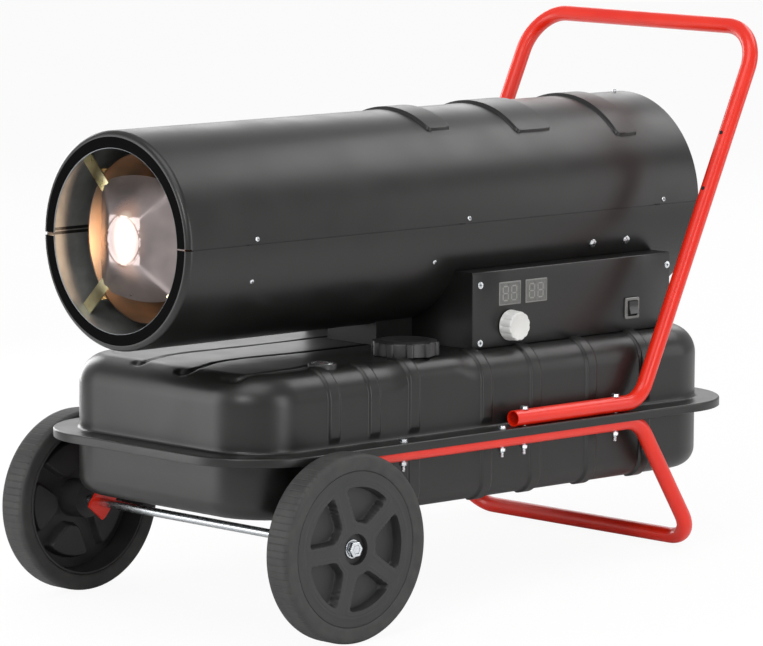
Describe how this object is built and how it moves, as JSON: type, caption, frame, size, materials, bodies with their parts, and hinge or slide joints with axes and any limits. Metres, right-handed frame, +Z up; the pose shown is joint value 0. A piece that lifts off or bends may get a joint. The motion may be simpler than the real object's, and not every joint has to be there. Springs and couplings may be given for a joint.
{
  "type": "forced air heater",
  "caption": "Oil-fired forced air heater: a burner and fan in a steel barrel over a ribbed fuel tank, on a wheeled tube frame with stand and push handle",
  "frame": {"origin": "middle of the bounding box's bottom, on the floor that the tyres and the stand rest on", "axes": "+Z up, warm air leaves toward -Y, push handle toward +Y, control panel faces +X; the tank and barrel lean back 3.1 degrees about X, as the heater stands"},
  "size_m": [0.574, 1.0358, 0.7252],
  "materials": {
    "black_paint": "satin black powder coat on sheet steel",
    "red_paint": "gloss red powder coat on steel tube",
    "zinc": "bright zinc plate",
    "bare_steel": "bare rolled steel",
    "heated_steel": "stainless steel with heat tint",
    "aluminium": "die-cast, matt",
    "brass": "turned brass",
    "rubber": "black rubber",
    "tyre": "solid black tyre, satin",
    "black_plastic": "moulded black plastic, satin",
    "pale_plastic": "silver-grey moulded plastic",
    "display": "smoked display window",
    "clear_plastic": "clear moulded lens",
    "board": "green printed board",
    "filter_foam": "dark open-cell foam"
  },
  "bodies": {
    "heater": {"tank_upper_shell": "black_paint", "tank_lower_shell": "black_paint", "drain_plug": "zinc", "filler_neck": "zinc", "fuel_strainer": "bare_steel", "gauge_body": "black_plastic", "gauge_lens": "clear_plastic", "fuel_pickup": "brass", "barrel_upper_shell": "black_paint", "barrel_lower_shell": "black_paint", "combustion_chamber": "heated_steel", "flame_deflector": "heated_steel", "burner_plate": "bare_steel", "nozzle_adapter": "brass", "spark_igniter": "pale_plastic", "flame_sensor": "black_plastic", "motor": "bare_steel", "motor_bracket": "zinc", "pump_body": "aluminium", "pump_cover": "aluminium", "air_filter": "filter_foam", "rear_guard": "zinc", "control_box": "black_paint", "control_panel": "black_paint", "control_board": "board", "display_left": "display", "display_right": "display", "thermostat": "black_plastic", "switch_housing": "black_plastic", "ignition_transformer": "black_plastic", "cord_gland": "black_plastic", "front_support": "black_paint", "handle_tube": "red_paint", "lower_frame_tube": "red_paint", "frame_bolt_near_1": "zinc", "frame_bolt_near_2": "zinc", "frame_bolt_near_3": "zinc", "frame_bolt_near_4": "zinc", "frame_bolt_far_1": "zinc", "frame_bolt_far_2": "zinc", "frame_bolt_far_3": "zinc", "frame_bolt_far_4": "zinc", "fuel_hose": "rubber", "air_hose": "rubber", "axle_rod": "zinc", "hub_nut_near": "zinc", "hub_nut_far": "zinc"},
    "near_running_wheel": {"tyre_near": "tyre", "wheel_near": "black_plastic"},
    "far_running_wheel": {"tyre_far": "tyre", "wheel_far": "black_plastic"},
    "rotor": {"fan": "aluminium", "motor_shaft": "bare_steel", "pump_rotor": "bare_steel"},
    "dial_knob": {"knob": "pale_plastic"},
    "switch_rocker": {"rocker": "black_plastic"},
    "cap_seal": {"cap_gasket": "rubber"},
    "screw_cap": {"fuel_cap": "black_plastic"},
    "float": {"float_arm": "brass"},
    "pointer": {"gauge_pointer": "red_paint"}
  },
  "joints": [
    {"name": "near_wheel_spin", "type": "hinge", "parent": "heater", "child": "near_running_wheel", "pos_m": [0.265, -0.36387, 0.125], "axis": [1, 0, 0], "continuous": true},
    {"name": "far_wheel_spin", "type": "hinge", "parent": "heater", "child": "far_running_wheel", "pos_m": [-0.265, -0.36387, 0.125], "axis": [1, 0, 0], "continuous": true},
    {"name": "fan_spin", "type": "hinge", "parent": "heater", "child": "rotor", "pos_m": [0, 0.15655, 0.4873], "axis": [0, 0.9985, -0.0543], "continuous": true},
    {"name": "thermostat_turn", "type": "hinge", "parent": "heater", "child": "dial_knob", "pos_m": [0.175, 0.04753, 0.35151], "axis": [-1, 0, 0], "range_deg": [0, 270]},
    {"name": "rocker_tilt", "type": "hinge", "parent": "heater", "child": "switch_rocker", "pos_m": [0.162, 0.28835, 0.34173], "axis": [0, 0.9985, -0.0543], "range_deg": [0, 16]},
    {"name": "cap_lift", "type": "slide", "parent": "heater", "child": "cap_seal", "axis": [0, 0.0543, 0.9985], "range_m": [0, 0.0125]},
    {"name": "cap_turn", "type": "hinge", "parent": "cap_seal", "child": "screw_cap", "pos_m": [0.138, -0.12362, 0.34429], "axis": [0, 0.0543, 0.9985], "range_deg": [0, 330]},
    {"name": "float_swing", "type": "hinge", "parent": "heater", "child": "float", "pos_m": [0.1635, -0.29426, 0.26343], "axis": [1, 0, 0], "range_deg": [0, 85]},
    {"name": "pointer_turn", "type": "hinge", "parent": "heater", "child": "pointer", "pos_m": [0.152, -0.28981, 0.34531], "axis": [0, 0.0543, 0.9985], "range_deg": [0, 85]}
  ],
  "couplings": [
    {"joint": "cap_lift", "follows": "cap_turn", "m_per_rad": 0.00217},
    {"joint": "pointer_turn", "follows": "float_swing", "ratio": 1}
  ]
}
